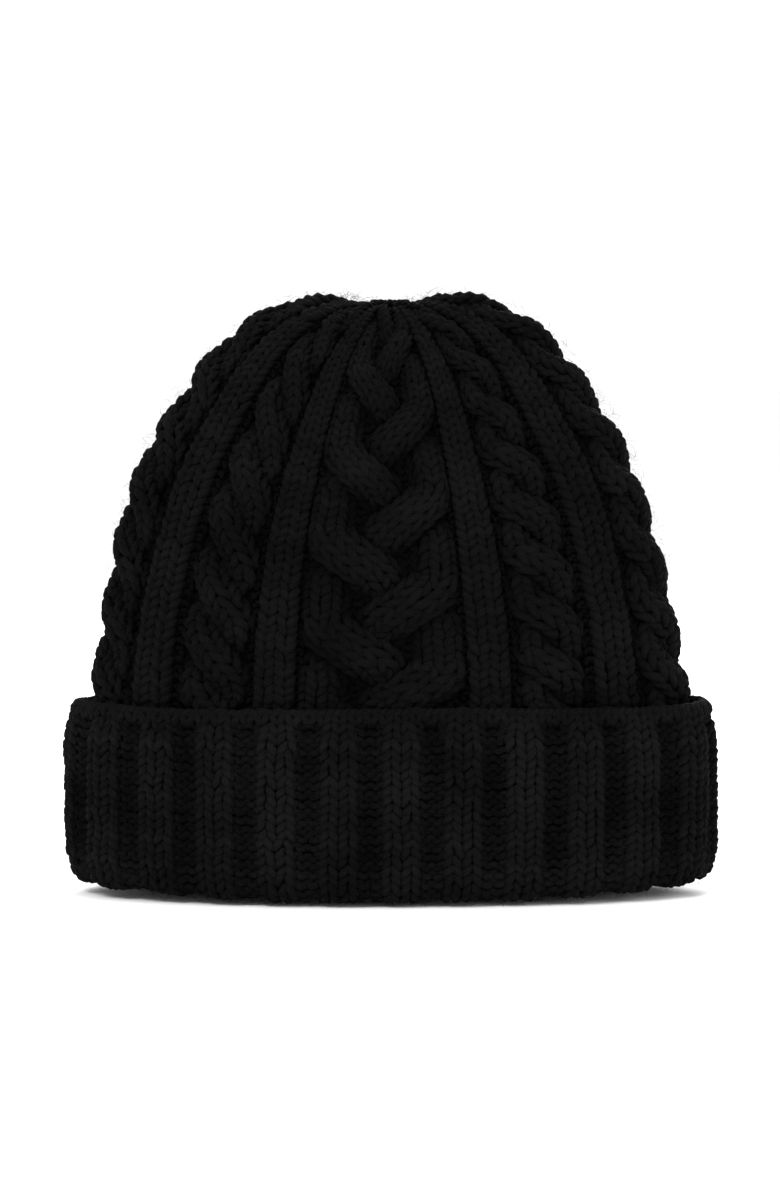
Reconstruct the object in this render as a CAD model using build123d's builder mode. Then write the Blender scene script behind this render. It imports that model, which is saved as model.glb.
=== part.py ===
"""Cable-knit beanie with a turned-up ribbed cuff.

Frame: millimetres, +Z up along the hat's axis, front at -Y, +X to the right seen from the front.
The origin is the middle of the oval that the turned-up edge stands on.

The hat is softly open, as it stands on a shelf: every level is an oval, wide in X and shallow in Y.
The knitted fabric is held as its layers and panels: the ground fabric of the crown, the braids,
ropes and ribs that stand up from it, the ribbed inner band and the ribbed cuff turned up over it.
"""

from build123d import *
import os

# Overall size
CUFF_HALF_WIDTH = 112.5
CUFF_HALF_DEPTH = 46.0
CUFF_THICK = 6.5
CUFF_TOP = 66.0
EDGE_HEIGHT = 4.0
EDGE_ROUND = 2.6
FOLD_HEIGHT = 7.0
FOLD_ROUND = 4.0

# Inner band, the ribbing that the cuff is turned up over
BAND_HALF_WIDTH = 103.5
BAND_HALF_DEPTH = 37.5
BAND_THICK = 6.0
BAND_TOP = 60.0
FOLD_GAP = 0.4

# Crown: height, half width and half depth of each oval level, measured outside the cables
CROWN_LEVELS = [
    (60.0, 103.4, 38.0),
    (82.0, 101.2, 40.0),
    (106.0, 97.0, 41.5),
    (130.0, 91.5, 41.5),
    (154.0, 83.5, 39.0),
    (172.0, 74.0, 35.0),
    (186.0, 64.5, 29.5),
    (199.0, 51.0, 21.5),
    (207.0, 38.5, 14.0),
    (211.0, 26.0, 7.5),
]
RELIEF = 3.4
GROUND_THICK = 4.4

# Panels of one quarter of the hat, as shares of the half width: where each starts and ends
BRAID_SHARE = 0.262
RIB_NEAR_SHARES = (0.292, 0.408)
ROPE_SHARES = (0.438, 0.665)
RIB_FAR_SHARES = (0.704, 0.826)
EDGE_ROPE_SHARE = 0.856
GUTTER = 3.0
CROWN_PULL = 0.26

# Draw-in at the top of the crown
GATHER_RADIUS = 8.0
GATHER_FLOOR = 205.6
GATHER_RISE = 2.6
GATHER_RIM_GAP = 0.5
GATHER_SHOULDER = (5.0, 1.9)
KNOT_RADIUS = 4.0
KNOT_DROP = 2.8

# Back seam and the blank care label, inside at the back
SEAM_WIDTH = 4.0
SEAM_THICK = 2.0
SEAM_TOP = 190.0
LABEL_WIDTH = 30.0
LABEL_HEIGHT = 36.0
LABEL_THICK = 1.0
LABEL_TOP = 56.0
LABEL_GAP = 0.02
LABEL_STITCH = (4.0, 0.6, 0.6)
LABEL_STITCH_COUNT = 4
LABEL_STITCH_PITCH = 6.0
LABEL_STITCH_DROP = 3.0

# Helper reach of cutting shapes, larger than the hat
REACH = 60.0
CLEAR = 5.0

FRONT = -1
BACK = 1
LEFT = -1
RIGHT = 1

crown_base, crown_half_width = CROWN_LEVELS[0][:2]
crown_top = CROWN_LEVELS[-1][0]
crown_half_depth = max(level[2] for level in CROWN_LEVELS)

os.makedirs("parts", exist_ok=True)


def nested_levels(inset):
    """Crown levels drawn in by an inset at the sides, at the front and back, and at the top."""
    wide = 1 - inset / crown_half_width
    deep = 1 - inset / crown_half_depth
    tall = 1 - inset / (crown_top - crown_base)
    return [(crown_base + (z - crown_base) * tall, a * wide, b * deep) for z, a, b in CROWN_LEVELS]


def crown_body(inset):
    """Solid dome lofted through the crown's oval levels, drawn in by an inset."""
    with BuildPart() as body:
        for z, half_width, half_depth in nested_levels(inset):
            with BuildSketch(Plane.XY.offset(z)):
                Ellipse(half_width, half_depth)
        loft()
    return body.part


def oval_wall(half_width, half_depth, thick, low, high):
    """Upright wall of even thickness that follows an oval."""
    with BuildPart() as wall:
        with BuildSketch(Plane.XY.offset(low)):
            Ellipse(half_width, half_depth)
            Ellipse(half_width - thick, half_depth - thick, mode=Mode.SUBTRACT)
        extrude(amount=high - low)
    return wall.part


def wale_line(share, side):
    """Front view of a column of stitches: it follows the outline and is pulled in to the gather."""
    points = []
    for z, half_width, _ in CROWN_LEVELS:
        rise = (z - crown_base) / (crown_top - crown_base)
        points.append((side * share * half_width * (1 - CROWN_PULL * rise**4), z))
    return points


def save(piece, name):
    """Label a finished piece and write it."""
    piece.label = name
    export_step(piece, f"parts/{name}.step")


# Crown: outer body, ground body and inner space
relief_body = crown_body(0)
ground_body = crown_body(RELIEF)
crown_space = crown_body(RELIEF + GROUND_THICK)
seam_space = crown_body(RELIEF + GROUND_THICK + SEAM_THICK)

# The dimple where the top stitches are drawn together
with BuildPart() as dimple:
    with BuildSketch(Plane.XY.offset(GATHER_FLOOR)):
        Circle(GATHER_RADIUS)
    with BuildSketch(Plane.XY.offset(crown_top + CLEAR)):
        Circle(GATHER_RADIUS + CLEAR)
    loft()

with BuildPart() as crown_shell:
    add(ground_body)
    add(crown_space, mode=Mode.SUBTRACT)
    add(dimple.part, mode=Mode.SUBTRACT)

with BuildPart() as relief_layer:
    add(relief_body)
    add(ground_body, mode=Mode.SUBTRACT)
    add(dimple.part, mode=Mode.SUBTRACT)

save(crown_shell.part, "crown_shell")


def panel_layer(inner_line, outer_line, facing):
    """The part of the raised layer between two lines of the front view, on one face of the hat."""
    with BuildPart() as panel:
        with BuildSketch(Plane.XZ.offset(-facing * GUTTER / 2)):
            with BuildLine():
                Spline(*inner_line)
                Line(inner_line[-1], outer_line[-1])
                Spline(*reversed(outer_line))
                Line(outer_line[0], inner_line[0])
            make_face()
        extrude(amount=-facing * REACH)
        add(relief_layer.part, mode=Mode.INTERSECT)
    return panel.part


def edge_layer(inner_line, side, facing):
    """The part of the raised layer from a line of the front view out to the side of the hat."""
    outside = side * (crown_half_width + CLEAR)
    with BuildPart() as panel:
        with BuildSketch(Plane.XZ.offset(-facing * GUTTER / 2)):
            with BuildLine():
                Spline(*inner_line)
                Polyline(inner_line[-1], (outside, crown_top), (outside, crown_base), inner_line[0])
            make_face()
        extrude(amount=-facing * REACH)
        add(relief_layer.part, mode=Mode.INTERSECT)
    return panel.part


# Raised panels: a braid in the middle of each face, then rib, rope, rib and edge rope to each side
for facing, face_name in ((FRONT, "front"), (BACK, "back")):
    braid = panel_layer(wale_line(BRAID_SHARE, LEFT), wale_line(BRAID_SHARE, RIGHT), facing)
    save(braid, f"{face_name}_braid")
    for side, side_name in ((LEFT, "left"), (RIGHT, "right")):
        place = f"{face_name}_{side_name}"
        for panel_name, shares in (
            ("rib_near", RIB_NEAR_SHARES),
            ("rope", ROPE_SHARES),
            ("rib_far", RIB_FAR_SHARES),
        ):
            panel = panel_layer(wale_line(shares[0], side), wale_line(shares[1], side), facing)
            save(panel, f"{place}_{panel_name}")
        save(edge_layer(wale_line(EDGE_ROPE_SHARE, side), side, facing), f"{place}_edge_rope")

# Ribbed inner band below the crown, which stays inside the cuff
band_bottom = FOLD_HEIGHT + FOLD_GAP
inner_band = oval_wall(BAND_HALF_WIDTH, BAND_HALF_DEPTH, BAND_THICK, band_bottom, BAND_TOP)
save(inner_band, "inner_band")

# Cuff: the fold that the hat stands on, the ribbed band and its cast-on edge
fold_thick = CUFF_HALF_WIDTH - BAND_HALF_WIDTH + BAND_THICK
with BuildPart() as cuff_fold:
    add(oval_wall(CUFF_HALF_WIDTH, CUFF_HALF_DEPTH, fold_thick, 0, FOLD_HEIGHT))
    fillet(cuff_fold.faces().sort_by(Axis.Z)[0].edges(), radius=FOLD_ROUND)
save(cuff_fold.part, "cuff_fold")

edge_bottom = CUFF_TOP - EDGE_HEIGHT
cuff_band = oval_wall(CUFF_HALF_WIDTH, CUFF_HALF_DEPTH, CUFF_THICK, FOLD_HEIGHT, edge_bottom)
save(cuff_band, "cuff_band")

with BuildPart() as cuff_edge:
    add(oval_wall(CUFF_HALF_WIDTH, CUFF_HALF_DEPTH, CUFF_THICK, edge_bottom, CUFF_TOP))
    fillet(cuff_edge.faces().sort_by(Axis.Z)[-1].edges(), radius=EDGE_ROUND)
save(cuff_edge.part, "cuff_edge")

# The drawn-in last stitches, a low rounded mound in the dimple
shoulder_radius, shoulder_rise = GATHER_SHOULDER
with BuildPart() as crown_gather:
    with BuildSketch(Plane.XZ):
        with BuildLine():
            gather_arc = ThreePointArc(
                (0, GATHER_FLOOR + GATHER_RISE),
                (shoulder_radius, GATHER_FLOOR + shoulder_rise),
                (GATHER_RADIUS - GATHER_RIM_GAP, GATHER_FLOOR),
            )
            Polyline(gather_arc @ 1, (0, GATHER_FLOOR), gather_arc @ 0)
        make_face()
    revolve(axis=Axis.Z)
save(crown_gather.part, "crown_gather")

# Knot of the draw yarn, inside under the crown
inside_top = nested_levels(RELIEF + GROUND_THICK)[-1][0]
with BuildPart() as crown_knot:
    with Locations((0, 0, inside_top - KNOT_DROP)):
        Sphere(KNOT_RADIUS)
    split(bisect_by=Plane.XY.offset(inside_top), keep=Keep.BOTTOM)
save(crown_knot.part, "crown_knot")

# Back seam: a low ridge up the inside of the back, on the band and on the crown
band_inside_width = BAND_HALF_WIDTH - BAND_THICK
band_inside_depth = BAND_HALF_DEPTH - BAND_THICK
with BuildPart() as back_seam:
    add(crown_space)
    add(seam_space, mode=Mode.SUBTRACT)
    add(oval_wall(band_inside_width, band_inside_depth, SEAM_THICK, band_bottom, BAND_TOP))
    with Locations((0, REACH / 2, (band_bottom + SEAM_TOP) / 2)):
        Box(SEAM_WIDTH, REACH, SEAM_TOP - band_bottom, mode=Mode.INTERSECT)
save(back_seam.part, "back_seam")

# Blank care label hanging from the seam, and the stitches that hold it
label_face = band_inside_depth - SEAM_THICK - LABEL_GAP
with BuildPart() as care_label:
    with Locations((0, label_face - LABEL_THICK / 2, LABEL_TOP - LABEL_HEIGHT / 2)):
        Box(LABEL_WIDTH, LABEL_THICK, LABEL_HEIGHT)
save(care_label.part, "care_label")

with BuildPart() as label_stitches:
    stitch_y = label_face - LABEL_THICK - LABEL_STITCH[1] / 2
    with Locations((0, stitch_y, LABEL_TOP - LABEL_STITCH_DROP)):
        with GridLocations(LABEL_STITCH_PITCH, 1, LABEL_STITCH_COUNT, 1):
            Box(*LABEL_STITCH)
save(label_stitches.part, "label_stitches")
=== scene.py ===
"""Cable-knit beanie. Every stitch is a loop of yarn laid over the hat's surface.

The hat's own frame, +Z up and the front at -Y. Shapes are worked out in millimetres and turned
into metres when a mesh is made. A place on the knitting is (u, r): u counts stitches round the
hat from the middle of the front towards +X, and r counts rows of knitting. Left and right are as
seen from in front of the hat, so right is +X.
"""
import math

import bpy
import numpy as np
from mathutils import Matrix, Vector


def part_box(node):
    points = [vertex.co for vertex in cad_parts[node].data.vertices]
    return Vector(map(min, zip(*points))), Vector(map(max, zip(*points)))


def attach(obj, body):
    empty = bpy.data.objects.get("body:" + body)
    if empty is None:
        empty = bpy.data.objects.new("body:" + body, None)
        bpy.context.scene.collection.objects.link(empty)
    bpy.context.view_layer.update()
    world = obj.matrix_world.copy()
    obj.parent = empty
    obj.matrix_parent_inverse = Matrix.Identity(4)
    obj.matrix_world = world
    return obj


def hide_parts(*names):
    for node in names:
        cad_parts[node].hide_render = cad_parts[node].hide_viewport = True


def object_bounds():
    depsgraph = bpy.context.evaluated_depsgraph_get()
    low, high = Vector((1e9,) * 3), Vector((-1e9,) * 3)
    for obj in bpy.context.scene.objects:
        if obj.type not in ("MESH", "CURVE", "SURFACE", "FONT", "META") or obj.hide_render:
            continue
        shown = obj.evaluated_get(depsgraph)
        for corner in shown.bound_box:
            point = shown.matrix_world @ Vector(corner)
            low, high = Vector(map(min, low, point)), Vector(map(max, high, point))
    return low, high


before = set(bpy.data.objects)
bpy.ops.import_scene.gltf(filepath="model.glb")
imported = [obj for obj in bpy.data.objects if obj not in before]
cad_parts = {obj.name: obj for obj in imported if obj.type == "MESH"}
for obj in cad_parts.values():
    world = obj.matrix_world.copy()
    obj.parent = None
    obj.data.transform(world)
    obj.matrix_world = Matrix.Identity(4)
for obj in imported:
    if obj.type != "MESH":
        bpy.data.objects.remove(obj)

cad_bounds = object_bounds()
rng = np.random.default_rng(11)

MM = 0.001
TAU = 2 * math.pi

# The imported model's sizes, in millimetres
_, fold_high = np.array(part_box("cuff_fold")) / MM
_, edge_high = np.array(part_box("cuff_edge")) / MM
_, gather_high = np.array(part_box("crown_gather")) / MM
label_low, label_high = np.array(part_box("care_label")) / MM
knot_low, knot_high = np.array(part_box("crown_knot")) / MM
CUFF_HALF_WIDTH = fold_high[0]
CUFF_HALF_DEPTH = fold_high[1]
CUFF_TOP = edge_high[2]

# Yarn: its radius, the corners of its section, and the points along one stitch
YARN_RADIUS = 1.5
SIDES = 8
LOOP_SAMPLES = 14
# A stitch: how far its loop sways sideways, in stitches, how far it reaches into the rows above and
# below, how far it dives into the fabric, and the stitch width at which its yarn has its full radius
LOOP_SWAY = 0.25
KNIT_REACH = 0.92
PURL_REACH = 0.72
LOOP_DEPTH = 1.3
ROUND_CELL = 6.0
# Unevenness of the stitches: sideways and upward in stitches, outward in millimetres, and in radius
WANDER_ACROSS = 0.05
WANDER_ALONG = 0.09
WANDER_OUT = 0.2
WANDER_RADIUS = 0.065
# Painted shade: the yarn is coloured darker where it lies deep between its neighbours, where shade falls:
# where that begins, and over what depth
PAINTED_SHADE_TOP = 0.7
PAINTED_SHADE_DEPTH = 3.2

# Cuff: ribbing of two knit and two purl stitches, cast on at its top edge
CUFF_STITCHES = 96
CUFF_START = -1.29
CUFF_YARN = 1.41
# Height of a row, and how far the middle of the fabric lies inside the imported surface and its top
CUFF_ROW = 2.98
CUFF_INSET = 3.5
EDGE_INSET = 1.2
# The bend at the bottom, and how much higher it lies than its inset and radius would put it
FOLD_RADIUS = 4.5
FOLD_CLEARANCE = 0.4
# How far the bottom rises at the two sides, and how far the top edge and the fold lean inward
CORNER_LIFT = 2.6
EDGE_LEAN = 1.9
FOLD_LEAN = 0.2
# Rib: how far knit and purl columns stand off the middle, how square they are, how much wider the
# knit ones are, how far they spread over their neighbours, and the share of relief lost at the fold
RIB_STAND = 1.85
RIB_SQUARE = 2.2
RIB_BIAS = 0.12
RIB_SPREAD = 0.17
RIB_FADE = 0.72
# Rows where the outside ends, where the fold ends, and where the inner band ends
BAND_ROWS = 19
FOLD_ROWS = 24
INNER_ROWS = 41

# Crown: 84 stitches in panels, as (kind, stitches, start share, end share) from the front middle
CROWN_STITCHES = 84
CROWN_ROWS = 57
QUARTER = 21
CROWN_PANELS = [
    ("braid", 4.5, 0.0, 0.262),
    ("gutter", 1, 0.262, 0.292),
    ("rib_near", 2, 0.292, 0.408),
    ("gutter", 1, 0.408, 0.438),
    ("rope", 4, 0.438, 0.665),
    ("gutter", 1, 0.665, 0.704),
    ("rib_far", 2, 0.704, 0.826),
    ("gutter", 1, 0.826, 0.856),
    ("edge_rope", 4, 0.856, 0.9995),
    ("gutter", 0.5, 0.9995, 1.0),
]
# Outline of the crown's middle surface, from the cuff over the shoulder into the gather:
# (half width, height) at the side, and (half depth, height) at the front
SIDE_OUTLINE = [
    (101.2, 57), (99.6, 76), (96.8, 95), (92.4, 115), (86.6, 135), (78.8, 153.5), (69.0, 169),
    (59.8, 182), (49.2, 193), (37.0, 200.2), (23.0, 202.8), (13.0, 201.6), (7.0, 199.6), (3.0, 195.5),
]
FRONT_OUTLINE = [
    (34.0, 57), (36.0, 76), (37.3, 95), (37.6, 115), (36.6, 135), (34.2, 154), (29.8, 172),
    (24.5, 183), (18.5, 191.8), (12.5, 197.5), (8.0, 199.8), (5.2, 199.4), (3.4, 197.6), (2.2, 195),
]
# Share of the way up where the gather begins to draw the stitches in
PUCKER_START = 0.62
# How far the pattern is turned, and spread to the sides, in radians
PATTERN_TURN = 0.030
PATTERN_SPREAD = 0.035
# How much of its panel's width a rib takes up
RIB_FILL = 1.1
# Heights over the crown's middle surface, and how far the edges of a rib or a strand fall away
RIB_HEIGHT = 1.0
RIB_ROUND = 0.45
STRAND_HEIGHT = 1.1
STRAND_ROUND = 3.0
GATHER_RISE = 0.4
GUTTER_HEIGHT = -0.9
UNDER_HEIGHT = -3.0
# Rows where the stitches are worked together in pairs
DECREASE_ROWS = [47, 53]
# The ground is worked all the way round from this row up, and below it only in the gutters and under
# the cables. Its yarn's section has fewer corners.
FULL_GROUND_ROW = 38
GROUND_SIDES = 5


# ---------------------------------------------------------------- surfaces

def smooth_step(x):
    x = np.clip(x, 0, 1)
    return x * x * (3 - 2 * x)


def smooth_curve(points, count=400):
    """Catmull-Rom curve through points, at even steps of its length, as arrays a and b."""
    p = np.array(points, float)
    p = np.vstack([2 * p[0] - p[1], p, 2 * p[-1] - p[-2]])
    t = np.linspace(0, 1, 24, endpoint=False)[:, None]
    spans = []
    for a, b, c, d in zip(p, p[1:], p[2:], p[3:]):
        spans.append(0.5 * (2 * b + (c - a) * t + (2 * a - 5 * b + 4 * c - d) * t**2
                            + (3 * b - a - 3 * c + d) * t**3))
    line = np.vstack(spans + [p[-2][None]])
    arc = np.concatenate([[0], np.cumsum(np.hypot(*np.diff(line, axis=0).T))])
    even = np.linspace(0, arc[-1], count)
    return np.interp(even, arc, line[:, 0]), np.interp(even, arc, line[:, 1])


def oval_arc(half_width, half_depth):
    """Angle round an oval from the front middle, and the share of its length up to there."""
    angle = np.linspace(0, TAU, 4001)
    step = np.hypot(np.diff(half_width * np.sin(angle)), np.diff(half_depth * np.cos(angle)))
    arc = np.concatenate([[0], np.cumsum(step)])
    return angle, arc / arc[-1]


cuff_angle, cuff_arc = oval_arc(CUFF_HALF_WIDTH - CUFF_INSET, CUFF_HALF_DEPTH - CUFF_INSET)


def cuff_surface(u, r):
    """Down the outside of the cuff from its cast-on edge, round the fold, and up the inner band."""
    turn = (u + CUFF_START) / CUFF_STITCHES
    angle = np.interp(turn % 1.0, cuff_arc, cuff_angle)
    centre = FOLD_RADIUS + CUFF_INSET + FOLD_CLEARANCE
    down = r * CUFF_ROW
    wall = CUFF_TOP - EDGE_INSET - centre
    bend = np.clip((down - wall) / FOLD_RADIUS, 0, math.pi)
    up = np.maximum(down - wall - math.pi * FOLD_RADIUS, 0)
    inward = FOLD_RADIUS * (1 - np.cos(bend))
    z = centre + np.maximum(wall - down, 0) - FOLD_RADIUS * np.sin(bend) + up
    outside = 1 - smooth_step(bend / math.pi)
    # The cuff leans in a little at its top edge and at the fold, and is never quite even
    inward = inward + outside * EDGE_LEAN * smooth_step((z - 50) / 16)
    inward = inward + FOLD_LEAN * smooth_step((16 - z) / 14)
    inward = inward + outside * 0.55 * np.sin(3 * angle + 0.7) + 0.35 * np.sin(7 * angle + z / 30)
    z = z + 0.5 * np.sin(4 * angle + 1.0) * outside * smooth_step((z - 30) / 40)
    z = z + CORNER_LIFT * np.sin(angle) ** 2 * (1 - smooth_step(z / 50))
    a = CUFF_HALF_WIDTH - CUFF_INSET - inward
    b = CUFF_HALF_DEPTH - CUFF_INSET - inward
    return np.stack([a * np.sin(angle), -b * np.cos(angle), z], axis=-1)


side_x, side_z = smooth_curve(SIDE_OUTLINE)
front_y, front_z = smooth_curve(FRONT_OUTLINE)
course = np.linspace(0, 1, len(side_x))
crown_row = np.hypot(np.diff(side_x), np.diff(side_z)).sum() / CROWN_ROWS
crown_angle, crown_arc = oval_arc(side_x[0], front_y[0])
quarter_arc = np.interp(math.pi / 2, crown_angle, crown_arc)


def stitch_knots():
    """Stitch count and arc share at each panel border of one quarter."""
    counts, arcs = [0.0], [0.0]
    for _, stitches, _, end in CROWN_PANELS:
        counts.append(counts[-1] + stitches)
        arcs.append(np.interp(math.asin(end), crown_angle, crown_arc) / quarter_arc)
    return np.array(counts), np.array(arcs)


knot_count, knot_arc = stitch_knots()


def crown_direction(u):
    """Angle of a column of stitches round the crown, the same pattern in every quarter."""
    quarter = np.floor(u / QUARTER)
    inside = u - quarter * QUARTER
    mirrored = quarter % 2 == 1
    inside = np.where(mirrored, QUARTER - inside, inside)
    share = np.interp(inside, knot_count, knot_arc) * quarter_arc
    angle = np.interp(share, crown_arc, crown_angle)
    angle = np.where(mirrored, (quarter + 1) * math.pi / 2 - angle, quarter * math.pi / 2 + angle)
    # The hat isn't laid out quite square to its pattern
    return angle - PATTERN_TURN + PATTERN_SPREAD * np.sin(angle)


def crown_surface(u, r):
    """Up the crown from inside the cuff, over the shoulder and down into the gather."""
    s = r / CROWN_ROWS
    angle = crown_direction(u)
    sin, cos = np.sin(angle), np.cos(angle)
    side = np.abs(sin) ** 1.6
    x = np.interp(s, course, side_x) * sin
    y = -np.interp(s, course, front_y) * cos
    z = np.interp(s, course, side_z) * side + np.interp(s, course, front_z) * (1 - side)
    # Soft hollows and humps, so that it isn't a machined dome
    soft = smooth_step(s / 0.2) * (1 - smooth_step((s - 0.9) / 0.1))
    swell = 1 + 0.010 * soft * np.sin(2.3 * angle + 5.0 * s) + 0.008 * soft * np.sin(5 * angle - 7 * s)
    z = z + 0.4 * smooth_step((s - 0.7) / 0.2) * np.sin(angle + 0.5) * side
    return np.stack([x * swell, y * (2 * swell - 1), z], axis=-1)


def surface_frame(surface, u, r, outward):
    """Point, outward normal and stitch width at each place."""
    e = 0.04
    point = surface(u, r)
    across = (surface(u + e, r) - surface(u - e, r)) / (2 * e)
    along = (surface(u, r + e) - surface(u, r - e)) / (2 * e)
    normal = np.cross(across, along) * outward
    normal /= np.maximum(np.linalg.norm(normal, axis=-1, keepdims=True), 1e-9)
    return point, normal, np.linalg.norm(across, axis=-1)


# ---------------------------------------------------------------- yarn

def uneven(rows, stitches, size):
    """A small random wander for every stitch, eased from one stitch to the next along a row."""
    values = rng.normal(0, size, (rows, stitches + 1))

    def at(turn):
        index = np.clip(turn / TAU, 0, stitches - 1e-6)
        low = index.astype(int)
        part = smooth_step(index - low)
        return values[:, low] * (1 - part) + values[:, low + 1] * part

    return at


def looped_rows(surface, outward, first, stitches, rows, face, place, yarn=YARN_RADIUS, wide=1.0):
    """One strand per row, looped through its stitches: points, normals, radius, and painted shade where
    it lies deep.

    face(u, r) is 1 where the stitch shows its knit side and -1 where it shows its purl side.
    place(u, r) moves a loop over the surface and returns its (u, r, height).
    wide is how many of the columns below each stitch takes up, after a decrease.
    """
    turn = np.linspace(0, TAU * stitches, stitches * LOOP_SAMPLES + 1)
    row = np.asarray(rows, float)[:, None]
    wander_u = uneven(len(rows), stitches, WANDER_ACROSS)(turn)
    wander_r = uneven(len(rows), stitches, WANDER_ALONG)(turn)
    wander_out = uneven(len(rows), stitches, WANDER_OUT)(turn)
    plumper = uneven(len(rows), stitches, WANDER_RADIUS)(turn)
    even_u = np.broadcast_to(first + wide * turn / TAU, wander_u.shape)
    side = face(even_u, row)
    u = even_u + wide * (LOOP_SWAY * np.sin(2 * turn) + wander_u)
    reach = KNIT_REACH + (KNIT_REACH - PURL_REACH) * (side - 1) / 2
    u, r, height = place(u, row + 0.5 - reach * np.cos(turn) + wander_r)
    point, normal, cell = surface_frame(surface, u, r, outward)
    # Painted shade: the deeper the loop lies, the darker its colour
    painted_shade = smooth_step((PAINTED_SHADE_TOP - height) / PAINTED_SHADE_DEPTH)
    narrow = np.clip(cell * wide / ROUND_CELL, 0.12, 1.0) ** 0.6
    height = height - LOOP_DEPTH * np.cos(2 * turn) * side * narrow + wander_out * narrow
    leg = np.sin(turn) ** 2
    radius = yarn * narrow * (0.84 + 0.2 * leg + plumper)
    return point + normal * height[..., None], normal, radius, painted_shade


def tube_arrays(points, normals, radius, closed, sides):
    """Vertices, quads and UVs of round yarn along each row of points; flattened a little."""
    rows, count = points.shape[:2]
    if closed:
        tangent = np.roll(points, -1, axis=1) - np.roll(points, 1, axis=1)
    else:
        tangent = np.gradient(points, axis=1)
    tangent /= np.maximum(np.linalg.norm(tangent, axis=-1, keepdims=True), 1e-9)
    across = np.cross(tangent, normals)
    across /= np.maximum(np.linalg.norm(across, axis=-1, keepdims=True), 1e-9)
    lift = np.cross(across, tangent)
    angle = np.arange(sides) * TAU / sides
    ring = (across[:, :, None] * np.cos(angle)[:, None] * 1.04
            + lift[:, :, None] * np.sin(angle)[:, None] * 0.94)
    verts = points[:, :, None] + ring * radius[:, :, None, None]
    spans = count if closed else count - 1
    i = np.arange(spans)
    j = np.arange(sides)
    near = i[:, None] * sides
    far = ((i + 1) % count)[:, None] * sides
    nxt = (j + 1) % sides
    quad = np.stack([near + j, near + nxt, far + nxt, far + j], axis=-1).reshape(-1, 4)
    quads = quad[None] + (np.arange(rows) * count * sides)[:, None, None]
    length = np.zeros((rows, count + 1))
    step = np.linalg.norm(np.diff(points, axis=1, append=points[:, :1]), axis=-1)
    length[:, 1:] = np.cumsum(step, axis=1)
    along = np.stack([length[:, i], length[:, i], length[:, i + 1], length[:, i + 1]], axis=-1)
    along = np.repeat(along[:, :, None], sides, axis=2)
    around = np.stack([j, j + 1, j + 1, j], axis=-1) / sides
    around = np.broadcast_to(around[None, None], along.shape)
    caps = []
    if not closed:
        start = np.arange(sides)[::-1] + (np.arange(rows) * count * sides)[:, None]
        end = np.arange(sides) + ((np.arange(rows) + 1) * count * sides - sides)[:, None]
        caps = [start, end]
    return (verts.reshape(-1, 3), quads.reshape(-1, 4), along.reshape(-1, 4),
            around.reshape(-1, 4), caps, rows)


def yarn_piece(name, strands, material, body, replaced=(), sides=SIDES):
    """One mesh of many strands, each a tuple (points, normals, radius, closed, and painted shade if it
    lies deep).
    """
    verts, quads, along, around, caps, tints, strips, deep = [], [], [], [], [], [], [], []
    base, strip = 0, 0
    for points, normals, radius, closed, *painted_shade in strands:
        v, q, a, b, c, rows = tube_arrays(points, normals, radius, closed, sides)
        verts.append(v)
        quads.append(q + base)
        along.append(a)
        around.append(b)
        caps += [end + base for end in c]
        tints.append(np.repeat(rng.uniform(0, 1, rows), len(v) // rows))
        # Painted shade at each point, none where a strand carries none
        deep.append(np.repeat(painted_shade[0].ravel() if painted_shade else np.zeros(radius.size), sides))
        strips.append(strip + np.repeat(np.arange(rows), len(q) // rows))
        base += len(v)
        strip += rows
    verts = np.vstack(verts) * MM
    quads = np.vstack(quads)
    along = np.vstack(along)
    around = np.vstack(around)
    strips = np.concatenate(strips)
    ends = np.vstack(caps) if caps else np.zeros((0, sides), int)

    mesh = bpy.data.meshes.new(name)
    mesh.vertices.add(len(verts))
    mesh.vertices.foreach_set("co", verts.astype(np.float32).ravel())
    mesh.loops.add(quads.size + ends.size)
    mesh.loops.foreach_set("vertex_index", np.concatenate([quads.ravel(), ends.ravel()]).astype(np.int32))
    starts = np.concatenate([np.arange(len(quads)) * 4, quads.size + np.arange(len(ends)) * sides])
    mesh.polygons.add(len(quads) + len(ends))
    mesh.polygons.foreach_set("loop_start", starts.astype(np.int32))
    mesh.polygons.foreach_set("use_smooth", np.ones(len(starts), bool))
    mesh.update(calc_edges=True)

    # Yarn coordinates for the material: millimetres along the strand, turns round it
    cap_uv = np.zeros((ends.size, 2))
    yarn_uv = np.stack([along.ravel(), around.ravel()], axis=-1)
    layer = mesh.uv_layers.new(name="Yarn")
    layer.uv.foreach_set("vector", np.vstack([yarn_uv, cap_uv]).astype(np.float32).ravel())
    # Strips side by side, cut or paired to make a square, so that no two faces share a place
    # on a baked map. The ends of the strands take no room.
    wide = along.max() + 1e-6
    span = (along[:, 2] - along[:, 0]).max()
    shape = wide / (TAU * YARN_RADIUS * sides / SIDES * strip)
    folds = max(1, round(math.sqrt(shape)))
    pairs = max(1, round(math.sqrt(1 / shape)))
    part = wide / folds
    fold = np.minimum(np.floor(along[:, :1] / part), folds - 1)
    row = strips[:, None] // pairs * folds + fold
    row_count = math.ceil(strip / pairs) * folds
    packed_x = (strips[:, None] % pairs + 0.01 + 0.98 * (along - fold * part) / (part + span)) / pairs
    packed_y = (row + 0.04 + 0.92 * around) / row_count
    packed = np.stack([packed_x.ravel(), packed_y.ravel()], axis=-1)
    layer = mesh.uv_layers.new(name="OFBake")
    layer.uv.foreach_set("vector", np.vstack([packed, cap_uv]).astype(np.float32).ravel())
    # A random tone for each strand, and the painted shade where the yarn lies deep
    for attribute_name, values in (("tint", tints), ("painted_shade", deep)):
        attribute = mesh.attributes.new(attribute_name, "FLOAT", "POINT")
        attribute.data.foreach_set("value", np.concatenate(values).astype(np.float32))
    mesh.validate()
    return placed(mesh, name, material, body, replaced)


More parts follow.
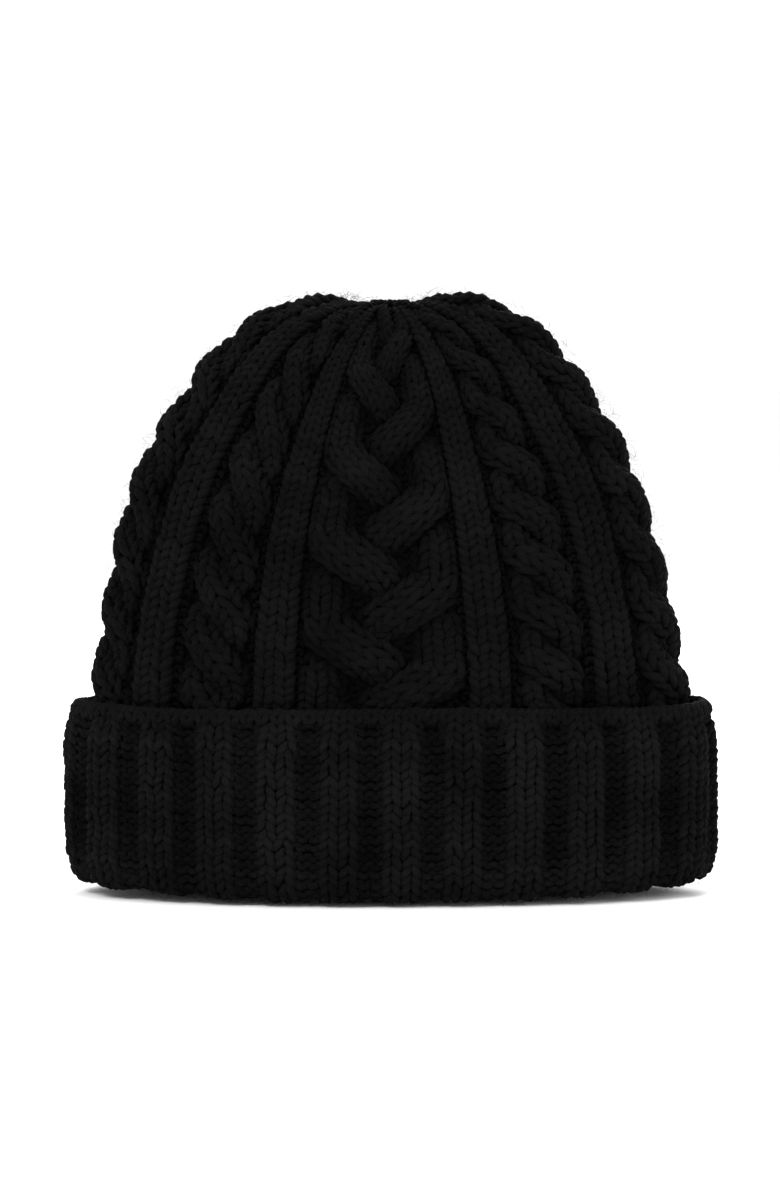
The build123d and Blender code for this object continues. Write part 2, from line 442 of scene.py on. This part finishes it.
def placed(mesh, name, material, body, replaced=()):
    """Put a finished mesh in the scene with its material, on its body, and hide the imported parts it
    takes the place of.
    """
    piece = bpy.data.objects.new(name, mesh)
    bpy.context.scene.collection.objects.link(piece)
    mesh.materials.append(material)
    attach(piece, body)
    if replaced:
        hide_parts(*replaced)
    return piece


# ---------------------------------------------------------------- materials

def nodes_of(material):
    material.use_nodes = True
    tree = material.node_tree
    return tree, tree.nodes["Principled BSDF"]


def math_node(tree, operation, *values):
    """A maths node of the tree: each value is a number, or the output that feeds it."""
    node = tree.nodes.new("ShaderNodeMath")
    node.operation = operation
    for socket, value in zip(node.inputs, values):
        if isinstance(value, (int, float)):
            socket.default_value = value
        else:
            tree.links.new(value, socket)
    return node.outputs[0]


def add_bump(tree, shader, height, strength, distance):
    bump = tree.nodes.new("ShaderNodeBump")
    bump.inputs["Strength"].default_value = strength
    bump.inputs["Distance"].default_value = distance
    tree.links.new(height, bump.inputs["Height"])
    tree.links.new(bump.outputs["Normal"], shader.inputs["Normal"])


def add_ramp(tree, shader, tone, dark, light, dark_at=0.0, light_at=1.0):
    ramp = tree.nodes.new("ShaderNodeValToRGB")
    for stop, place, colour in zip(ramp.color_ramp.elements, (dark_at, light_at), (dark, light)):
        stop.position = place
        stop.color = (*colour, 1)
    tree.links.new(tone, ramp.inputs["Fac"])
    tree.links.new(ramp.outputs["Color"], shader.inputs["Base Color"])


# Plies in the yarn, how far they stand out of it, and the scales of its fibres and of the cloud
PLIES = 3.0
PLY_RELIEF = 0.45
FIBRE_SCALE = 5.5
CLOUD_SCALE = 38.0
# How much the cloud and the strand's own tint change the tone
CLOUD_SHARE = 0.55
TINT_SHARE = 0.10


def yarn_material(name, dark, light, fuzz, twist, shade):
    """Soft plied wool: twisted plies, fibres along them, a slow change of tone, and painted shade where
    deep.
    """
    material = bpy.data.materials.new(name)
    tree, shader = nodes_of(material)
    make = tree.nodes.new
    link = tree.links.new
    yarn = make("ShaderNodeUVMap")
    yarn.uv_map = "Yarn"
    split = make("ShaderNodeSeparateXYZ")
    link(yarn.outputs["UV"], split.inputs[0])

    # Plies: stripes that wind round the strand
    pitch = math_node(tree, "DIVIDE", split.outputs["X"], twist)
    wind = math_node(tree, "MULTIPLY_ADD", split.outputs["Y"], PLIES, pitch)
    ply = math_node(tree, "SINE", math_node(tree, "MULTIPLY", wind, TAU))

    # Fibres: noise drawn out along the plies
    where = make("ShaderNodeCombineXYZ")
    link(split.outputs["X"], where.inputs["X"])
    link(wind, where.inputs["Y"])
    fibre = make("ShaderNodeTexNoise")
    link(where.outputs[0], fibre.inputs["Vector"])
    fibre.inputs["Scale"].default_value = FIBRE_SCALE
    fibre.inputs["Detail"].default_value = 5.0
    fibre.inputs["Roughness"].default_value = 0.65
    height = math_node(tree, "MULTIPLY_ADD", ply, PLY_RELIEF, fibre.outputs["Fac"])
    add_bump(tree, shader, height, strength=0.75, distance=0.0006)

    # Colour: fibre tone, a slow cloud over the fabric, a tint for each strand, and painted shade in the
    # crevices
    body = make("ShaderNodeTexCoord")
    cloud = make("ShaderNodeTexNoise")
    link(body.outputs["Object"], cloud.inputs["Vector"])
    cloud.inputs["Scale"].default_value = CLOUD_SCALE
    cloud.inputs["Detail"].default_value = 3.0
    tone = math_node(tree, "MULTIPLY_ADD", cloud.outputs["Fac"], CLOUD_SHARE, fibre.outputs["Fac"])
    # The tint adds a little to the tone; the painted shade takes away from it, as much as shade says
    for attribute_name, share in (("tint", TINT_SHARE), ("painted_shade", -shade)):
        attribute = make("ShaderNodeAttribute")
        attribute.attribute_name = attribute_name
        tone = math_node(tree, "MULTIPLY_ADD", attribute.outputs["Fac"], share, tone)
    add_ramp(tree, shader, tone, dark, light, dark_at=0.60, light_at=0.96)

    rough = make("ShaderNodeMapRange")
    link(fibre.outputs["Fac"], rough.inputs["Value"])
    rough.inputs["To Min"].default_value = 0.78
    rough.inputs["To Max"].default_value = 0.96
    link(rough.outputs["Result"], shader.inputs["Roughness"])
    shader.inputs["Specular IOR Level"].default_value = 0.03
    shader.inputs["Sheen Weight"].default_value = fuzz
    shader.inputs["Sheen Roughness"].default_value = 0.55
    shader.inputs["Sheen Tint"].default_value = (0.0125, 0.0116, 0.0122, 1)
    return material


def tape_material(name, dark, light):
    """Woven label tape: fine over-and-under threads."""
    material = bpy.data.materials.new(name)
    tree, shader = nodes_of(material)
    make = tree.nodes.new
    link = tree.links.new
    where = make("ShaderNodeTexCoord")
    heights = []
    for axis in ("X", "Z"):
        wave = make("ShaderNodeTexWave")
        wave.bands_direction = axis
        wave.inputs["Scale"].default_value = 520.0
        wave.inputs["Distortion"].default_value = 0.4
        link(where.outputs["Object"], wave.inputs["Vector"])
        heights.append(wave.outputs["Fac"])
    weave = math_node(tree, "MULTIPLY", *heights)
    add_bump(tree, shader, weave, strength=0.5, distance=0.0001)
    add_ramp(tree, shader, weave, dark, light)
    shader.inputs["Roughness"].default_value = 0.55
    shader.inputs["Sheen Weight"].default_value = 0.15
    return material


def stage_material(name, colour):
    material = bpy.data.materials.new(name)
    _, shader = nodes_of(material)
    shader.inputs["Base Color"].default_value = (*colour, 1)
    shader.inputs["Roughness"].default_value = 0.9
    shader.inputs["Specular IOR Level"].default_value = 0.1
    return material


# A very dark charcoal, a little warm
CHARCOAL_DARK = (0.00085, 0.00078, 0.00084)
CHARCOAL_LIGHT = (0.0047, 0.0042, 0.0045)


def charcoal(name, brightness, fuzz, twist=2.6, shade=0.22):
    light = [brightness * c for c in CHARCOAL_LIGHT]
    return yarn_material(name, CHARCOAL_DARK, light, fuzz, twist, shade)


# The same charcoal wool in every part, in copies of different brightness. The ground, which lies under
# the cables and in the gutters, is coloured darker as painted shade. The cuff's rib is coloured lighter
# as painted light. Each copy's shade sets how dark its crevices are painted as shade.
cable_wool = charcoal("cable_wool", 1.0, 0.08)
ground_wool_painted_shade = charcoal("ground_wool_painted_shade", 0.7, 0.04)
rib_wool_painted_light = charcoal("rib_wool_painted_light", 1.32, 0.08, shade=0.12)
seam_wool = charcoal("seam_wool", 1.3, 0.10, 1.6)
fuzz_wool = charcoal("fuzz_wool", 1.9, 0.10)
label_tape = tape_material("label_tape", (0.010, 0.010, 0.011), (0.030, 0.030, 0.031))


# ---------------------------------------------------------------- cuff and inner band

def rib_wave(u):
    """Positive on the two knit stitches of the cuff's rib and negative on the two purl stitches."""
    return -np.cos(TAU * u / 4)


def cuff_face(u, r):
    """Knit and purl columns by turns, but the cast-on row shows its knit side all the way round."""
    return np.clip(3.2 * rib_wave(u) + 6 * (1 - smooth_step(r - 0.2)), -1, 1)


def cuff_place(u, r):
    """Knit columns stand out between sunk purl columns, whose tops are arched under the edge."""
    wave = np.tanh(RIB_SQUARE * (rib_wave(u) + RIB_BIAS)) / math.tanh(RIB_SQUARE)
    edge = 1 - smooth_step((r - 1.5 - np.minimum(wave, 0)) / 1.1)
    stand = RIB_STAND * (1 - RIB_FADE * smooth_step((r - 16) / 3.5))
    height = stand * wave * (1 - edge) + 0.75 * RIB_STAND * edge
    spread = -RIB_SPREAD * np.sin(TAU * u / 4) * (1 - edge)
    return u + spread, r, height


def cuff_rows(first, stitches, rows):
    points, normals, radius, painted_shade = looped_rows(cuff_surface, -1, first, stitches, rows,
                                                   cuff_face, cuff_place, CUFF_YARN)
    return points, normals, radius, False, painted_shade


half_round = CUFF_STITCHES // 2
for half_name, first in (("front", -half_round // 2), ("back", half_round // 2)):
    yarn_piece(f"cuff_band_{half_name}", [cuff_rows(first, half_round, range(1, BAND_ROWS))],
               rib_wool_painted_light, "cuff", ["cuff_band"])
    yarn_piece(f"inner_band_{half_name}", [cuff_rows(first, half_round, range(FOLD_ROWS, INNER_ROWS))],
               rib_wool_painted_light, "hat", ["inner_band"])
yarn_piece("cuff_fold_knit", [cuff_rows(0, CUFF_STITCHES, range(BAND_ROWS, FOLD_ROWS))], rib_wool_painted_light,
           "cuff", ["cuff_fold"])


# Points along one turn of the cast-on cord, and the radius of its two strands
CORD_SAMPLES = 8
CORD_RADIUS = 0.92 * CUFF_YARN
# Half the width of the twist, along the fabric and out of it, and how far its middle stands out
CORD_ALONG = 0.798
CORD_OUT = 0.9
CORD_HEIGHT = 0.6


def cast_on_cord():
    """The cast-on edge: two strands twisted round each other along the top of the cuff."""
    strands = []
    count = CUFF_STITCHES * CORD_SAMPLES
    u = np.arange(count) / CORD_SAMPLES
    twist = TAU * u
    for start in (0, math.pi):
        r = -0.05 + CORD_ALONG * np.cos(twist + start) / CUFF_ROW
        point, normal, _ = surface_frame(cuff_surface, u, r, -1)
        height = CORD_HEIGHT + CORD_OUT * np.sin(twist + start)
        points = point + normal * height[:, None]
        radius = np.full(count, CORD_RADIUS)
        strands.append((points[None], normal[None], radius[None], True))
    return strands


yarn_piece("cuff_cast_on", [cuff_rows(0, CUFF_STITCHES, range(0, 1))] + cast_on_cord(), rib_wool_painted_light,
           "cuff", ["cuff_edge"])


# ---------------------------------------------------------------- crown

all_rows = range(CROWN_ROWS - 1)


def pucker(r):
    """How far a row is into the gathered top, from 0 to 1."""
    return smooth_step((r / CROWN_ROWS - PUCKER_START) / (1 - PUCKER_START))


def knit_side(u, r):
    return np.ones_like(u)


def purl_side(u, r):
    return -np.ones_like(u)


def rib_place(middle):
    """Two knit stitches that stand up as a rounded rib."""

    def place(u, r):
        drawn = pucker(r)
        u = middle + (u - middle) * (RIB_FILL + 0.2 * drawn)
        off = u - middle
        height = RIB_HEIGHT - RIB_ROUND * off**2 + GATHER_RISE * drawn
        return u, r, height

    return place


def gutter_place(depth):
    """A purl stitch sunk between two panels, which sinks by depth more towards the gather."""

    def place(u, r):
        return u, r, GUTTER_HEIGHT - depth * pucker(r)

    return place


def under_place(u, r):
    """Ground under the cables, closer to them at the gather."""
    return u, r, UNDER_HEIGHT + 2.2 * pucker(r)


def stitch_shape(r):
    """Width of a stitch over its height, at row r of the crown."""
    rows = np.linspace(0, CROWN_ROWS, CROWN_ROWS + 1)[:, None]
    around = crown_surface(np.linspace(0, CROWN_STITCHES, 4 * CROWN_STITCHES + 1), rows)
    width = np.linalg.norm(np.diff(around, axis=1), axis=-1).sum(axis=1) / CROWN_STITCHES
    return np.interp(r, rows[:, 0], width / crown_row)


def lane_path(t, cable, lanes):
    """Lane of a strand (0 in the middle) and how far it stands in front, at row t of its cycle.

    Each move of a cable is (middle row, rows it takes, lanes moved, height it passes at).
    """
    cycle, moves, _, _ = cable
    lane = (lanes - 1) / 2
    height = 0
    for middle, rows, shift, passing in moves:
        apart = (t - middle + cycle / 2) % cycle - cycle / 2
        done = (t - middle - apart) / cycle
        lane = lane + shift * (smooth_step(apart / rows + 0.5) + done)
        height = height + passing * np.exp(-(apart / (0.42 * rows)) ** 2)
    return lane, height


def strand_place(middle, home, each, lanes, start, cable):
    """A strand of a rope or braid, winding round the panel's middle as it climbs."""
    _, _, fill, squeeze = cable

    def place(u, r):
        local = (u - home) * fill
        tiny = 0.05
        lane, front = lane_path(r - start, cable, lanes)
        later, _ = lane_path(r - start + tiny, cable, lanes)
        shape = stitch_shape(r)
        lean = np.arctan((later - lane) / tiny * each * fill * shape)
        drawn_in = np.cos(lean) ** squeeze
        new_u = middle + lane * each * fill + local * drawn_in * np.cos(lean)
        new_r = r - local * drawn_in * np.sin(lean) * shape
        drawn = pucker(r)
        relief = 1 - 0.55 * drawn
        height = STRAND_HEIGHT + relief * (front - STRAND_ROUND * (2 * local / each) ** 2)
        spread = (new_u - middle) / (lanes * each / 2)
        height = height - (0.5 + 0.3 * drawn) * spread**2 + GATHER_RISE * drawn
        return new_u, new_r, height

    return place


def crown_strands(first, stitches, rows, face, place, yarn=YARN_RADIUS):
    """Rows of one strand of the crown, in tiers with half as many stitches after each decrease."""
    tiers = []
    starts = [0] + DECREASE_ROWS
    for tier, start in enumerate(starts):
        end = (starts + [CROWN_ROWS])[tier + 1]
        tier_rows = [r for r in rows if start <= r < end]
        left = max(1, round(stitches / 2**tier))
        if tier_rows:
            points, normals, radius, painted_shade = looped_rows(crown_surface, 1, first, left, tier_rows,
                                                           face, place, yarn, stitches / left)
            tiers.append((points, normals, radius, False, painted_shade))
    return tiers


def row_at(u, height):
    """Row of the crown that is at a height, over stitch u."""
    rows = np.linspace(0, 0.85 * CROWN_ROWS, 200)
    return np.interp(height, crown_surface(np.full(200, u), rows)[:, 2], rows)


def twisted_panel(first, lanes, each, height, cable):
    """All strands of a rope (2 lanes) or of a braid (3 lanes), with a crossing at a height."""
    made = []
    middle = first + lanes * each / 2
    start = row_at(middle, height)
    for k in range(lanes):
        home = first + each * (k + 0.5)
        place = strand_place(middle, home, each, lanes, start + k * cable[0] / lanes, cable)
        made += crown_strands(home - each / 2, each, all_rows, knit_side, place)
    return made


# Cables: rows of one cycle, the moves a strand makes in it, width of a lane in its share of the
# panel, and how much a lane is drawn in where it leans. In the ropes the strand that rises to the
# left, seen from outside, is always in front. In the braid each outer strand passes over the middle
# one in turn.
BRAID = (31.2, ((5.2, 5.0, -1, -3.8), (10.4, 6.4, -1, 2.8), (20.8, 5.0, 1, -3.8), (26.0, 6.4, 1, 2.8)),
         1.2, 0.2)
STEEP_ROPE = (12.8, ((0, 8.0, -1, 2.8), (6.4, 4.2, 1, -3.2)), 1.24, 0.2)
FLAT_ROPE = (11.6, ((0, 4.6, -1, 2.6), (5.8, 3.8, 1, -2.6)), 1.16, 0.0)
EDGE_ROPE = (12.8, ((0, 6.0, -1, 2.6), (6.4, 4.0, 1, -2.8)), 1.16, 0.15)
BRAID_HEIGHT = 87.5
BRAID_STITCHES = 9
braid_lows = {"front": -BRAID_STITCHES / 2, "back": 2 * QUARTER - BRAID_STITCHES / 2}
for face_name, low in braid_lows.items():
    yarn_piece(f"{face_name}_braid_knit",
               twisted_panel(low, 3, BRAID_STITCHES // 3, BRAID_HEIGHT, BRAID),
               cable_wool, "hat", [f"{face_name}_braid"])

# Each quarter's rope and edge rope: the height of one crossing, and how it crosses
ROPES = {"front_right": ((116.0, FLAT_ROPE), (119.0, EDGE_ROPE)),
         "back_right": ((110.0, STEEP_ROPE), (126.0, EDGE_ROPE)),
         "back_left": ((119.0, FLAT_ROPE), (121.0, EDGE_ROPE)),
         "front_left": ((104.0, STEEP_ROPE), (117.0, EDGE_ROPE))}
# Where each quarter's panels are counted from, and which way round the hat they are counted
QUARTERS = [("front_right", 0, 1), ("back_right", 2 * QUARTER, -1), ("back_left", 2 * QUARTER, 1),
            ("front_left", 4 * QUARTER, -1)]
# How much further each gutter sinks towards the gather. A negative one rises there instead.
GUTTER_DEPTHS = {"front_right": (1.6, -1.2, -0.8, -1.2), "back_right": (-1.2, -0.8, -1.0, -1.2),
                 "back_left": (-0.6, -1.2, -0.8, -1.2), "front_left": (-1.0, 1.6, -1.2, -1.0)}
gutters = {"front": [], "back": []}


def ground_strand(low, stitches, depth):
    return crown_strands(low, stitches, all_rows, purl_side, gutter_place(depth))


def under_cable(low, stitches):
    """Purl ground that shows in the pockets of a cable."""
    return crown_strands(low, stitches, range(FULL_GROUND_ROW), purl_side, under_place)


for place_name, origin, way in QUARTERS:
    half_name = place_name.split("_")[0]
    depths = iter(GUTTER_DEPTHS[place_name])
    count = 0.0
    for kind, stitches, _, _ in CROWN_PANELS:
        low = origin + count if way > 0 else origin - count - stitches
        count += stitches
        if kind == "gutter" and stitches == 1:
            gutters[half_name] += ground_strand(low, 1, next(depths))
        elif kind in ("rib_near", "rib_far"):
            strands = crown_strands(low, 2, all_rows, knit_side, rib_place(low + 1))
            yarn_piece(f"{place_name}_{kind}_knit", strands, cable_wool, "hat",
                       [f"{place_name}_{kind}"])
        elif kind in ("rope", "edge_rope"):
            crossing_height, crossing = ROPES[place_name][kind == "edge_rope"]
            gutters[half_name] += under_cable(low, 1) + under_cable(low + 3, 1)
            yarn_piece(f"{place_name}_{kind}_knit", twisted_panel(low, 2, 2, crossing_height, crossing),
                       cable_wool, "hat", [f"{place_name}_{kind}"])
# The gutter at each side of the hat, the ground under the braids, and the ground of the upper crown,
# which goes under the ribs too
for half_name, low in (("front", QUARTER - 0.5), ("back", 3 * QUARTER - 0.5)):
    gutters[half_name] += ground_strand(low, 1, 1.5)
    gutters[half_name] += under_cable(braid_lows[half_name], BRAID_STITCHES)
    yarn_piece(f"crown_ground_{half_name}", gutters[half_name], ground_wool_painted_shade, "hat", ["crown_shell"],
               sides=GROUND_SIDES)
    upper = crown_strands(low + 0.5 - 2 * QUARTER, 2 * QUARTER, range(FULL_GROUND_ROW, CROWN_ROWS - 1),
                          purl_side, under_place)
    yarn_piece(f"crown_top_ground_{half_name}", upper, ground_wool_painted_shade, "hat", ["crown_shell"],
               sides=GROUND_SIDES)


# ---------------------------------------------------------------- gather, knot, seam and label

DRAW_YARN_RADIUS = 0.85
KNOT_YARN_RADIUS = 0.75
SEAM_YARN_RADIUS = 0.7
DASH_RADIUS = 0.28
# The draw yarn's rounds: radius, lift, and waves in a round
DRAW_ROUNDS = ((4.6, 0.0, 11), (2.4, -0.9, 7))
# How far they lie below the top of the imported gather
DRAW_YARN_DROP = 5.2
KNOT_SIZE = 0.75
SEAM_SAMPLES = 14


def upright_frames(points):
    """Normals for a free strand of yarn: up, made square to it where the tube is built."""
    return np.broadcast_to(np.array([0.13, 0.21, 0.97]), points.shape).copy()


def draw_yarn():
    """The yarn drawn through the last stitches, in two wavy rounds over the gather."""
    strands = []
    t = np.linspace(0, TAU, 240, endpoint=False)
    top = gather_high[2] - DRAW_YARN_DROP
    for radius, lift, waves in DRAW_ROUNDS:
        spread = radius + 0.5 * np.cos(waves * t)
        points = np.stack([spread * np.cos(t) * 1.25, spread * np.sin(t) * 0.8,
                           top + lift + 0.7 * np.sin(waves * t)], axis=-1)
        strands.append((points[None], upright_frames(points)[None],
                        np.full((1, len(t)), DRAW_YARN_RADIUS), True))
    return strands


def knot_yarn():
    """An overhand knot of the draw yarn under the crown."""
    t = np.linspace(0, TAU, 160, endpoint=False)
    centre = (knot_low + knot_high) / 2
    points = np.stack([1.15 * (np.sin(t) + 2 * np.sin(2 * t)), 1.15 * (np.cos(t) - 2 * np.cos(2 * t)),
                       -1.3 * np.sin(3 * t)], axis=-1) * KNOT_SIZE + centre
    return [(points[None], upright_frames(points)[None], np.full((1, len(t)), KNOT_YARN_RADIUS), True)]


def seam_yarn():
    """Whip stitches up the inside of the back, on the band and then on the crown."""
    strands = []
    for surface, outward, middle, low, high, depth in (
        (cuff_surface, -1, CUFF_STITCHES / 2, FOLD_ROWS + 0.4, INNER_ROWS - 0.6, 3.3),
        (crown_surface, -1, 2 * QUARTER, 1.0, CROWN_ROWS * 0.82, 3.6),
    ):
        count = int((high - low) * SEAM_SAMPLES)
        r = np.linspace(low, high, count)
        swing = TAU * r
        u = middle + 0.32 * np.sin(swing)
        point, normal, _ = surface_frame(surface, u, r + 0.25 * np.sin(2 * swing), outward)
        points = point + normal * (depth + 0.7 * np.cos(swing))[:, None]
        strands.append((points[None], normal[None], np.full((1, count), SEAM_YARN_RADIUS), False))
    return strands


yarn_piece("crown_draw_yarn", draw_yarn(), seam_wool, "hat", ["crown_gather"])
yarn_piece("crown_knot_yarn", knot_yarn(), seam_wool, "hat", ["crown_knot"])
yarn_piece("back_seam_yarn", seam_yarn(), seam_wool, "hat", ["back_seam"])


def folded_label():
    """Blank tape, folded at the bottom and sewn by its two ends at the top."""
    width = label_high[0] - label_low[0]
    height = label_high[2] - label_low[2]
    middle_y = (label_low[1] + label_high[1]) / 2
    gap = 0.28
    half_thick = 0.11
    drop = np.linspace(0, height - gap, 24)
    bend = np.linspace(0, math.pi, 9)[1:-1]
    path = [(gap, label_high[2] - d) for d in drop]
    path += [(gap * math.cos(b), label_low[2] + gap - gap * math.sin(b)) for b in bend]
    path += [(-gap, label_high[2] - d) for d in drop[::-1]]
    path = np.array(path)
    out = np.gradient(path, axis=0)
    out = np.stack([-out[:, 1], out[:, 0]], axis=-1)
    out /= np.linalg.norm(out, axis=1, keepdims=True)
    x = np.linspace(-width / 2, width / 2, 21)
    layers = []
    for side in (half_thick, -half_thick):
        line = path + out * side
        grid = np.zeros((len(path), len(x), 3))
        grid[:, :, 0] = x
        grid[:, :, 1] = middle_y + line[:, :1] + 0.10 * np.sin(x / 4.0)
        grid[:, :, 2] = line[:, 1:]
        layers.append(grid)
    rows, cols = len(path), len(x)
    verts = np.concatenate([layer.reshape(-1, 3) for layer in layers]) * MM
    count = rows * cols
    faces = []
    for i in range(rows - 1):
        for j in range(cols - 1):
            a, b = i * cols + j, i * cols + j + 1
            c, d = b + cols, a + cols
            faces.append((a, b, c, d))
            faces.append((a + count, d + count, c + count, b + count))
    rim = list(range(cols)) + [i * cols + cols - 1 for i in range(1, rows)]
    rim += [(rows - 1) * cols + j for j in range(cols - 2, -1, -1)]
    rim += [i * cols for i in range(rows - 2, 0, -1)]
    for a, b in zip(rim, rim[1:] + rim[:1]):
        faces.append((a, a + count, b + count, b))
    mesh = bpy.data.meshes.new("care_label_tape")
    mesh.from_pydata(verts.tolist(), [], faces)
    mesh.update()
    return mesh, (width * MM, 2 * height * MM)


label_mesh, label_flat = folded_label()
label = placed(label_mesh, "care_label_tape", label_tape, "hat", ["care_label"])


def label_dashes():
    """Short stitches through the top of the label."""
    low, high = np.array(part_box("label_stitches")) / MM
    count = 4
    pitch = (high[0] - low[0] - 4.0) / (count - 1)
    t = np.linspace(0, math.pi, 14)
    strands = []
    radius = np.full((1, len(t)), DASH_RADIUS)
    for k in range(count):
        x = low[0] + 2.0 + pitch * k - 2.0 * np.cos(t)
        y = label_low[1] + 0.15 - 0.45 * np.sin(t)
        z = (low[2] + high[2]) / 2 + 0.25 * np.cos(t)
        points = np.stack([x, y, z], axis=-1)
        strands.append((points[None], upright_frames(points)[None], radius, False))
    return strands


dashes = yarn_piece("label_stitch_yarn", label_dashes(), seam_wool, "hat", ["label_stitches"])


# ---------------------------------------------------------------- loose fibres

FIBRE_RADIUS = 0.045
FIBRE_SIDES = 3


def loose_fibres(surface, outward, count, columns, rows, lift):
    """Short fibres that stand off the yarn, each with its own length, lean and curl."""
    u = rng.uniform(0, columns, count)
    r = rng.uniform(*rows, count)
    point, normal, _ = surface_frame(surface, u, r, outward)
    random = rng.normal(size=(count, 3))
    flat = random - normal * (random * normal).sum(axis=1, keepdims=True)
    flat /= np.linalg.norm(flat, axis=1, keepdims=True)
    bend = np.cross(normal, flat)
    rise = rng.uniform(0.15, 0.95, (count, 1))
    length = rng.uniform(1.6, 4.2, (count, 1))
    curl = rng.normal(0, 0.5, (count, 1))
    base = point + normal * rng.uniform(*lift, (count, 1))
    steps = []
    for t in (0.0, 0.35, 0.7, 1.0):
        steps.append(base + length * (t * (flat * np.sqrt(1 - rise**2) + normal * rise)
                                      + t**2 * curl * bend - 0.25 * t**2 * normal * rise))
    points = np.stack(steps, axis=1)
    radius = np.array([1.0, 0.9, 0.7, 0.35])[None] * FIBRE_RADIUS * rng.uniform(0.7, 1.1, (count, 1))
    return [(points, np.repeat(normal[:, None], 4, axis=1), radius, False)]


crown_fibres = loose_fibres(crown_surface, 1, count=9000, columns=CROWN_STITCHES, rows=(2, 54),
                            lift=(0.5, 5.0))
yarn_piece("crown_fuzz", crown_fibres, fuzz_wool, "hat", sides=FIBRE_SIDES)
cuff_fibres = loose_fibres(cuff_surface, -1, count=6500, columns=CUFF_STITCHES, rows=(0.3, 22),
                           lift=(0.5, 3.4))
yarn_piece("cuff_fuzz", cuff_fibres, fuzz_wool, "cuff", sides=FIBRE_SIDES)


# ---------------------------------------------------------------- camera, light and floor

CAMERA_DISTANCE = 1.3
CAMERA_ELEVATION = math.radians(3.5)
# Height of the view where the hat is
FRAME_HEIGHT = 0.4124
# How far below the middle of the hat the camera is aimed
AIM_DROP = 0.0036
SENSOR = 36.0
SURROUND_STRENGTH = 1.07


def make_camera():
    """Straight on to the front and a little above it."""
    data = bpy.data.cameras.new("camera")
    camera = bpy.data.objects.new("camera", data)
    bpy.context.scene.collection.objects.link(camera)
    low, high = cad_bounds
    aim = np.array([0, 0, (low[2] + high[2]) / 2 - AIM_DROP])
    away = np.array([0, -math.cos(CAMERA_ELEVATION), math.sin(CAMERA_ELEVATION)])
    camera.location = aim + away * CAMERA_DISTANCE
    camera.rotation_euler = (math.pi / 2 - CAMERA_ELEVATION, 0, 0)
    data.sensor_width = SENSOR
    data.lens = SENSOR * CAMERA_DISTANCE / FRAME_HEIGHT
    data.clip_start = 0.05
    bpy.context.scene.camera = camera


def area_light(name, place, target, size, power):
    data = bpy.data.lights.new(name, "AREA")
    data.shape = "RECTANGLE"
    data.size, data.size_y = size
    data.energy = power
    light = bpy.data.objects.new(name, data)
    bpy.context.scene.collection.objects.link(light)
    light.location = place
    aim = np.array(target) - np.array(place)
    light.rotation_euler = (math.acos(-aim[2] / np.linalg.norm(aim)), 0,
                            math.atan2(aim[1], aim[0]) - math.pi / 2)


def make_stage():
    """Pale floor and a white surround."""
    mesh = bpy.data.meshes.new("floor")
    reach = 30.0
    mesh.from_pydata([(-reach, -reach, 0), (reach, -reach, 0), (reach, reach, 0), (-reach, reach, 0)],
                     [], [(0, 1, 2, 3)])
    floor = bpy.data.objects.new("floor", mesh)
    bpy.context.scene.collection.objects.link(floor)
    mesh.materials.append(stage_material("pale_floor", (0.95, 0.95, 0.95)))
    world = bpy.data.worlds.new("white")
    world.use_nodes = True
    world.node_tree.nodes["Background"].inputs[0].default_value = (1, 1, 1, 1)
    world.node_tree.nodes["Background"].inputs[1].default_value = SURROUND_STRENGTH
    bpy.context.scene.world = world


make_camera()
make_stage()
area_light("key", (-0.75, -1.15, 1.15), (0, 0, 0.1), (0.6, 0.6), 21)
area_light("fill", (1.1, -0.9, 0.6), (0, 0, 0.1), (0.9, 0.9), 8)
area_light("top", (0.1, 0.25, 1.5), (0, 0, 0.15), (0.8, 0.8), 9)
area_light("back", (0.35, 1.4, 0.9), (0, 0, 0.1), (0.9, 0.9), 20)
bpy.context.scene.view_settings.view_transform = "Standard"
